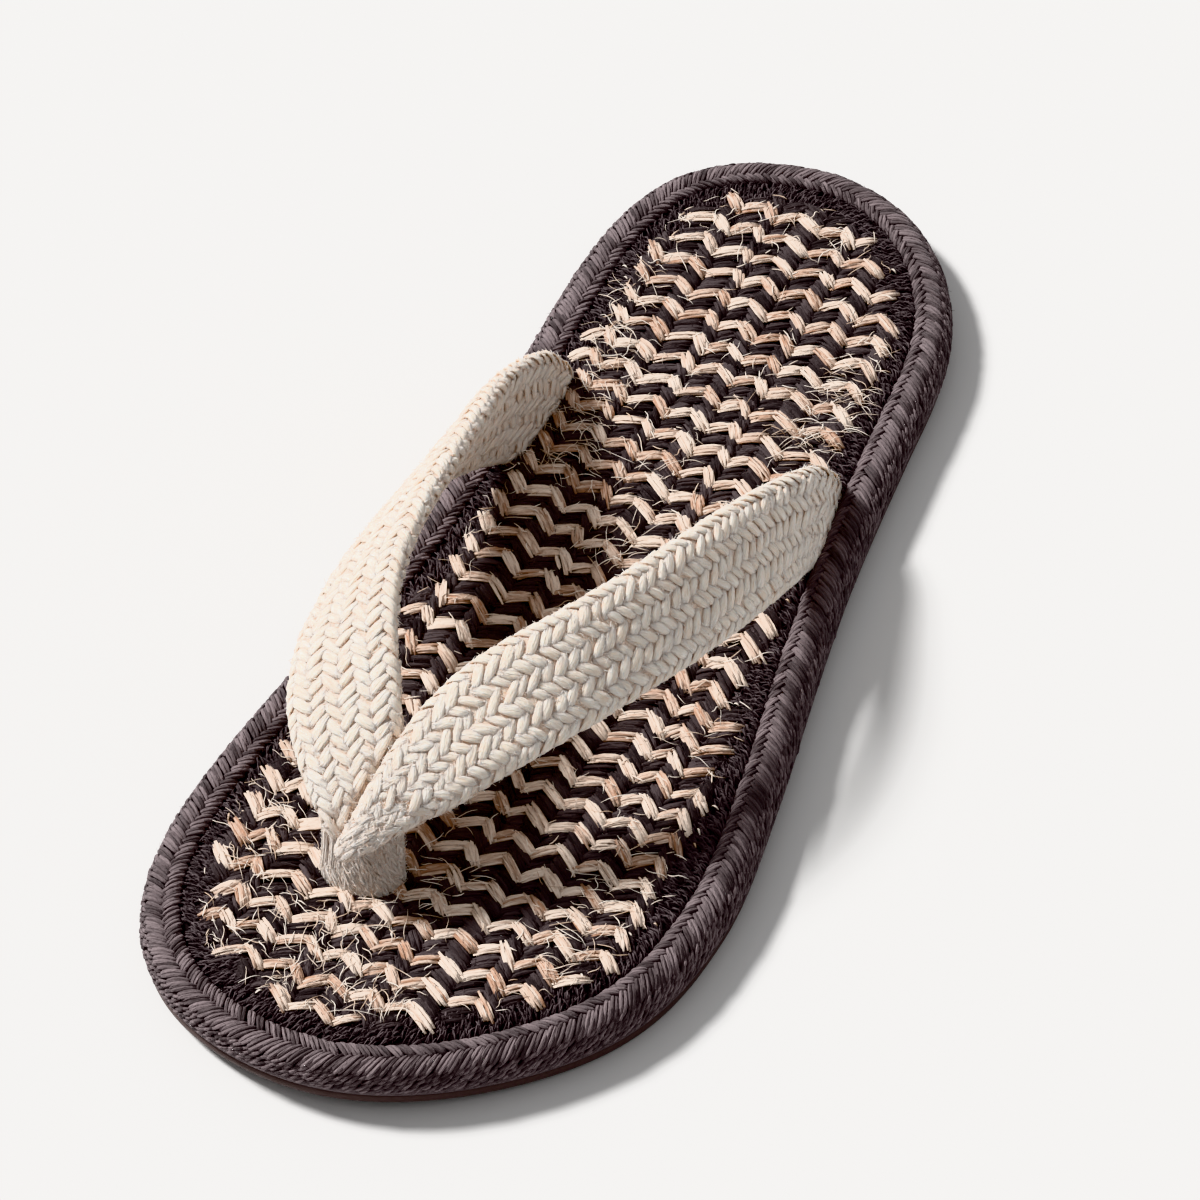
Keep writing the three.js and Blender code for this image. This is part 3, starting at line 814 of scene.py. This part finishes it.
class Strap:
    """A padded strap: a curve of centre, half width and outward direction, and its oval section.
    side is 1 where the rows run so that ahead x across points out, else -1; seam is the side of the
    seam that the strap lies on, or 0 where it isn't pressed in."""

    def __init__(self, rows, side, seam=0):
        edge = curve_rows(rows, np.linspace(0, len(rows) - 1, STRAP_STEPS))
        self.side = side
        self.seam = seam
        self.centre = (edge[:, :3] + edge[:, 3:]) / 2
        self.across = (edge[:, :3] - edge[:, 3:]) / 2
        self.run = running_length(self.centre)
        self.length = self.run[-1]
        ahead = unit(np.gradient(self.centre, axis=0))
        self.outward = unit(np.cross(ahead, self.across)) * side

    def along(self, values, l):
        """Values of the strap's curve at l along it."""
        place = np.clip(l, 0, self.length)
        return np.stack([np.interp(place, self.run, values[:, i]) for i in range(3)], -1)

    def sink(self, point, normal):
        """How deep the seam presses: depth * smooth step of nearness * fade behind it * upward facing."""
        own = self.seam * (point[..., 0] - np.interp(point[..., 1], SEAM_Y, SEAM_X))
        near = np.clip((SEAM_WIDTH - own) / SEAM_WIDTH, 0, 1)
        close = np.clip((SEAM_END - point[..., 1]) / SEAM_FADE, 0, 1)
        return SEAM_DEPTH * near ** 2 * (3 - 2 * near) * close * np.clip(normal[..., 2] + 0.3, 0, 1)

    def at(self, l, a, out=0.0):
        """Point and normal at l along the strap and a around its section, raised by out."""
        l, a, out = np.broadcast_arrays(np.asarray(l, float), np.asarray(a, float), np.asarray(out, float))
        centre = self.along(self.centre, l)
        across = self.along(self.across, l)
        outward = self.along(self.outward, l)
        dx = oval_value(a + STRAP_SLOPE_STEP, 0) - oval_value(a - STRAP_SLOPE_STEP, 0)
        dz = oval_value(a + STRAP_SLOPE_STEP, 1) - oval_value(a - STRAP_SLOPE_STEP, 1)
        size = np.maximum(np.hypot(dx, dz), 1e-6)
        wide = np.linalg.norm(across, axis=-1, keepdims=True)
        sideways = across / wide
        normal = unit(sideways * (dz / size)[..., None] + outward * (-dx / size)[..., None])
        point = centre + sideways * (oval_value(a, 0) / HALF_WIDE)[..., None] * wide \
            + outward * oval_value(a, 1)[..., None]
        if self.seam:
            point = point - outward * self.sink(point, normal)[..., None]
        return point + normal * out[..., None], normal

    def core(self):
        """The padded core under the strands."""
        l = np.linspace(0, self.length, 90)
        a = np.linspace(0, GIRTH, 32, endpoint=False)
        grid_l, grid_a = np.meshgrid(l, a, indexing="ij")
        points, _ = self.at(grid_l, grid_a, STRAP_CORE_SINK)
        if self.side > 0:
            points = points[:, ::-1]
        # Painted shade: lift 0.6 darkens the core partly toward the deep colour, where it shows between the
        # strands.
        return skin(points, close_columns=True, lift=0.6)

    def braid(self):
        """Plump strands in columns: l = l_k + lean (t - 1/2), a across the column; ends tucked under.
        calm makes them flatter near the strap's ends, narrow makes them finer where the strap is narrow."""
        blocks = []
        t = np.linspace(0, 1, BRAID_STATIONS)
        ends = t * 0.84 + 0.08
        column = GIRTH / BRAID_COLUMNS
        count = int(self.length / BRAID_PITCH)
        half_wide = np.linalg.norm(self.across, axis=1)
        for c in range(BRAID_COLUMNS):
            l0 = (np.arange(count) + 0.5 + 0.25 * (c % 2)) * self.length / count + rng.normal(0, 0.3, count)
            lean = BRAID_LEAN if c % 2 == 0 else -BRAID_LEAN
            l = l0[:, None] + (lean + rng.normal(0, 0.6, (count, 1))) * (t - 0.5)
            a = (c + 0.5) * column + (column + BRAID_OVERLAP) * (t - 0.5) + rng.normal(0, 0.16, (count, 1))
            calm = np.clip(np.minimum(l0 - 2, self.length - 10 - l0) / 26, 0.2, 1)[:, None]
            narrow = np.clip(np.interp(l0, self.run, half_wide) / HALF_WIDE, 0.3, 1.0)[:, None]
            out = -0.22 - 0.33 * calm + 0.42 * arch(t, 0.8) * calm + rng.normal(0, 0.09, (count, 1))
            points, normal = self.at(l, a, out)
            half = BRAID_HALF * narrow ** 0.35 * rng.uniform(0.8, 1.12, (count, 1)) * arch(ends, 0.5)
            high = BRAID_HIGH * narrow ** 0.5 * arch(ends, 0.6) * (0.6 + 0.4 * calm)
            sides = 8 if c < BRAID_COLUMNS // 2 else 6
            blocks.append(strands(points, normal, half, high, sides))
        return blocks

    def fuzz(self, number):
        """Short hairs that stand up from the strap's skin."""
        l = rng.uniform(2, self.length, number)
        a = rng.uniform(0, GIRTH, number)
        root, normal = self.at(l, a, 0.0)
        ahead = unit(self.at(l + 0.5, a)[0] - root)
        return hairs(root, normal, ahead, longest=1.5, thick=0.075, upright=0.5)


lateral = Strap(LATERAL_STRAP, 1)
medial = Strap(MEDIAL_STRAP, -1, seam=-1)

# Toe post: a wrapped oval column.
POST_X = -6.5
POST_Y = -81.8
POST_HALF_WIDE = 7.8
POST_HALF_DEEP = 5.9
POST_FOOT = 5.6
POST_TOP = 23.0
POST_FLARE = 0.10
POST_WAIST = 0.14
POST_LEAN = 3.0
POST_TURNS = 40
POST_RINGS = 14
JUNCTION_TOP = 24.0
JUNCTION_DROP = 17.0
JUNCTION_END = 6.0
JUNCTION_HALF = 9.5


def post_point(turn, z, out=0.0):
    """Oval column: centre + (W cos q, D sin q)(1 + flare (1-h)^3 - waist h^2), leaning back by lean h^2."""
    h = np.clip((z - POST_FOOT) / (POST_TOP - POST_FOOT), 0, 1)
    flare = 1 + POST_FLARE * (1 - h) ** 3 - POST_WAIST * h ** 2
    x = POST_X + (POST_HALF_WIDE * flare + out) * np.cos(turn)
    y = POST_Y + (POST_HALF_DEEP * flare + out) * np.sin(turn) + POST_LEAN * h ** 2
    return np.stack(np.broadcast_arrays(x, y, z + spring(POST_Y)), -1)


def post_normal(turn):
    """Level direction (cos q, sin q, 0) out of the post."""
    return np.stack([np.cos(turn), np.sin(turn), 0 * turn], -1)


def post_core():
    """Core of the post: rings of the oval column 0.6 under its skin, closed at the top."""
    turn = np.linspace(0, 2 * np.pi, POST_TURNS, endpoint=False)
    z = np.linspace(POST_FOOT, POST_TOP, POST_RINGS)
    grid_z, grid_turn = np.meshgrid(z, turn, indexing="ij")
    points = post_point(grid_turn, grid_z, -0.6)
    tip = np.broadcast_to(points[-1].mean(0), points[-1].shape)
    points = np.concatenate([points, tip[None]])
    # Painted shade: lift 0.45 mixes the deep colour about halfway into the core, where it shows between the
    # fibres.
    return skin(points[:, ::-1], close_columns=True, lift=0.45)


def post_fibres(count):
    """Upright fibres of the post, slanted by slant (t - 1/2) around it."""
    t = np.linspace(0, 1, 4)
    q = rng.uniform(0, 2 * np.pi, count)
    foot = rng.uniform(POST_FOOT, POST_TOP - 5.0, count)
    length = rng.uniform(3.5, 7.0, count)
    slant = rng.normal(0.45, 0.16, count)
    turn = q[:, None] + slant[:, None] * (t - 0.5) + rng.normal(0, 0.03, (count, 1)) * np.sin(2 * np.pi * t)
    height = foot[:, None] + length[:, None] * (1 - t)
    points = post_point(turn, height, -0.35 + 0.3 * arch(t) + rng.normal(0, 0.08, (count, 1)))
    half = rng.uniform(0.16, 0.34, (count, 1)) * arch(t * 0.86 + 0.07, 0.4)
    return strands(points, post_normal(turn), half, 0.8 * half, lift=0.95)


def junction_strands(strap, count):
    """Strands that carry a strap's face down onto the post: (1-b) strap point + b post point, with
    b = t^2 (3-2t)."""
    t = np.linspace(0, 1, 6)
    a = np.linspace(0, 1, count) * GIRTH + rng.normal(0, 0.25, count)
    l_start = rng.uniform(7.0, 16.0, count)
    l = l_start[:, None] - (l_start[:, None] - JUNCTION_END) * t
    on_strap, strap_normal = strap.at(l, np.broadcast_to(a[:, None], l.shape), -0.2)
    aside = np.clip((on_strap[:, :1, 0] - POST_X) / JUNCTION_HALF, -0.98, 0.98)
    q = -np.sign(0.2 - strap_normal[:, :1, 1]) * np.arccos(aside)
    z = JUNCTION_TOP - JUNCTION_DROP * t + rng.normal(0, 0.5, (count, 1))
    on_post = post_point(np.broadcast_to(q, l.shape), z, -0.05)
    blend = (t ** 2 * (3 - 2 * t))[None, :, None]
    points = on_strap * (1 - blend) + on_post * blend
    normal = unit(strap_normal * (1 - blend) + post_normal(q) * blend)
    half = rng.uniform(0.18, 0.34, (count, 1)) * arch(t * 0.9 + 0.05, 0.35)
    return strands(points, normal, half, 0.8 * half, lift=0.95)


def post_fuzz(number):
    """Hairs over the toe post."""
    turn = rng.uniform(0, 2 * np.pi, number)
    z = rng.uniform(POST_FOOT + 1, POST_TOP + 2, number)
    root = post_point(turn, z)
    ahead = np.broadcast_to(UP, root.shape)
    return hairs(root, post_normal(turn), ahead, longest=1.8, thick=0.085, upright=0.6)


piece("sole_sheet", [sole_block()], RUBBER, "outsole")
piece("rim_core", [rim_core()], DARK_YARN, "edge_braid")
piece("rim_plait", plait_arms() + wall_bits(), DARK_YARN)
piece("rim_fuzz", [rim_fuzz(3500)], DARK_YARN)
piece("mat_floor", [mat_floor()], DARK_BORDER, "insole_mat")
piece("mat_border", [border_loops(5600)], DARK_BORDER)
piece("mat_fuzz", [border_fuzz(2000)], DARK_BORDER)
zig_x, zig_y = zig_points()
dark_stitch = {"half_width": 1.15, "plies": 3, "high": 0.6, "wide": 0.55}
dark_front = stitch_rows(zig_x, zig_y, ROW_PITCH / 2 + DARK_SHIFT, base=8.45, **dark_stitch)
dark_back = stitch_rows(zig_x, zig_y, ROW_PITCH / 2 - DARK_SHIFT, base=8.4, **dark_stitch)
piece("dark_rows", dark_front + dark_back, DARK_ROWS)
piece("dark_row_fuzz", [row_fuzz(zig_x, zig_y, 4200)], DARK_BORDER)
straw_stitches = stitch_rows(zig_x, zig_y, 0.0, half_width=1.2, plies=6, base=8.95, high=0.5, wide=0.40)
piece("straw_rows", straw_stitches, STRAW)
piece("straw_frays", fray_fibres() + [specks(34), row_hairs(zig_x, zig_y, 1500)], FRAYED)
strap_core = piece("strap_core", [lateral.core(), medial.core()], COTTON, "straps")
piece("lateral_strap_braid", lateral.braid(), COTTON)
piece("medial_strap_braid", medial.braid(), COTTON)
piece("toe_post", [post_core(), post_fibres(1100), junction_strands(medial, 340)], COTTON)
piece("lateral_strap_fuzz", [lateral.fuzz(7200), post_fuzz(1300)], COTTON_FUZZ)
piece("medial_strap_fuzz", [medial.fuzz(7200)], COTTON_FUZZ)

# Floor, light and camera, in metres.
FLOOR_HALF = 3.0
FLOOR_COLOUR = (0.76, 0.76, 0.76, 1)
floor_mesh = bpy.data.meshes.new("floor")
floor_mesh.from_pydata([(-FLOOR_HALF, -FLOOR_HALF, 0), (FLOOR_HALF, -FLOOR_HALF, 0),
                        (FLOOR_HALF, FLOOR_HALF, 0), (-FLOOR_HALF, FLOOR_HALF, 0)], [], [(0, 1, 2, 3)])
floor = bpy.data.objects.new("floor", floor_mesh)
bpy.context.scene.collection.objects.link(floor)
floor_material = bpy.data.materials.new("pale floor")
floor_material.use_nodes = True
floor_shader = floor_material.node_tree.nodes["Principled BSDF"]
floor_shader.inputs["Base Color"].default_value = FLOOR_COLOUR
floor_shader.inputs["Roughness"].default_value = 0.9
floor_mesh.materials.append(floor_material)

SUN_FROM = np.array([-1.0, 0.04, 0.92])
SUN_STRENGTH = 5.4
SUN_SPREAD = 13.0
SUN_COLOUR = (1.0, 0.985, 0.965)
sun_data = bpy.data.lights.new("window light", "SUN")
sun_data.energy = SUN_STRENGTH
sun_data.angle = math.radians(SUN_SPREAD)
sun_data.color = SUN_COLOUR
sun = bpy.data.objects.new("window light", sun_data)
bpy.context.scene.collection.objects.link(sun)
heading = math.atan2(SUN_FROM[0], -SUN_FROM[1])
tilt = math.atan2(math.hypot(SUN_FROM[0], SUN_FROM[1]), SUN_FROM[2])
sun.rotation_euler = (tilt, 0, heading)

ROOM_COLOUR = (1.0, 0.99, 0.985, 1)
ROOM_STRENGTH = 0.47
world = bpy.data.worlds.new("soft room")
bpy.context.scene.world = world
world.use_nodes = True
background = world.node_tree.nodes["Background"]
background.inputs["Color"].default_value = ROOM_COLOUR
background.inputs["Strength"].default_value = ROOM_STRENGTH

BLACK_LEVEL = 0.006
view = bpy.context.scene.view_settings
view.view_transform = "Khronos PBR Neutral"
view.use_curve_mapping = True
view.curve_mapping.black_level = (BLACK_LEVEL, BLACK_LEVEL, BLACK_LEVEL)
view.curve_mapping.update()

CAMERA_PLACE = np.array([0.3446, -0.7921, 0.894])
CAMERA_AIM = np.array([0.0, -0.004, 0.012])
CAMERA_LENS = 196
CAMERA_SENSOR = 36
camera_data = bpy.data.cameras.new("camera")
camera_data.lens = CAMERA_LENS
camera_data.sensor_width = CAMERA_SENSOR
camera = bpy.data.objects.new("camera", camera_data)
bpy.context.scene.collection.objects.link(camera)
camera.location = CAMERA_PLACE
look = CAMERA_AIM - CAMERA_PLACE
camera.rotation_euler = (math.atan2(math.hypot(look[0], look[1]), -look[2]), 0, math.atan2(-look[0], look[1]))
bpy.context.scene.camera = camera
